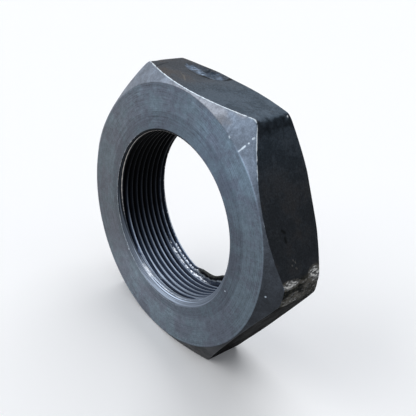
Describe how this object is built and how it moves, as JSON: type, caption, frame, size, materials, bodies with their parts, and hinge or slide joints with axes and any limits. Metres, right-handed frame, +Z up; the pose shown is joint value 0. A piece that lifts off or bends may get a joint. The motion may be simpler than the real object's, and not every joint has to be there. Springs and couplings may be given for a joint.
{
  "type": "pitman arm nut",
  "caption": "Large thin hexagon lock nut with a fine right-hand thread, chamfered corners and staked back edge, for clamping a steering arm on its splined shaft.",
  "frame": {"origin": "on the thread axis, half way between the bearing face and the staked back face", "axes": "-Y out of the plain bearing face along the thread axis, +Y towards the staked end, +X across the corners towards the worn corner, +Z up, square to the flat that the nut stands on"},
  "size_m": [0.0755, 0.0158, 0.0666],
  "materials": {
    "dark_steel": "turned steel with a dark oxide finish, satin, worn bright along the edges"
  },
  "bodies": {
    "root": {"lock_nut": "dark_steel"}
  },
  "joints": []
}
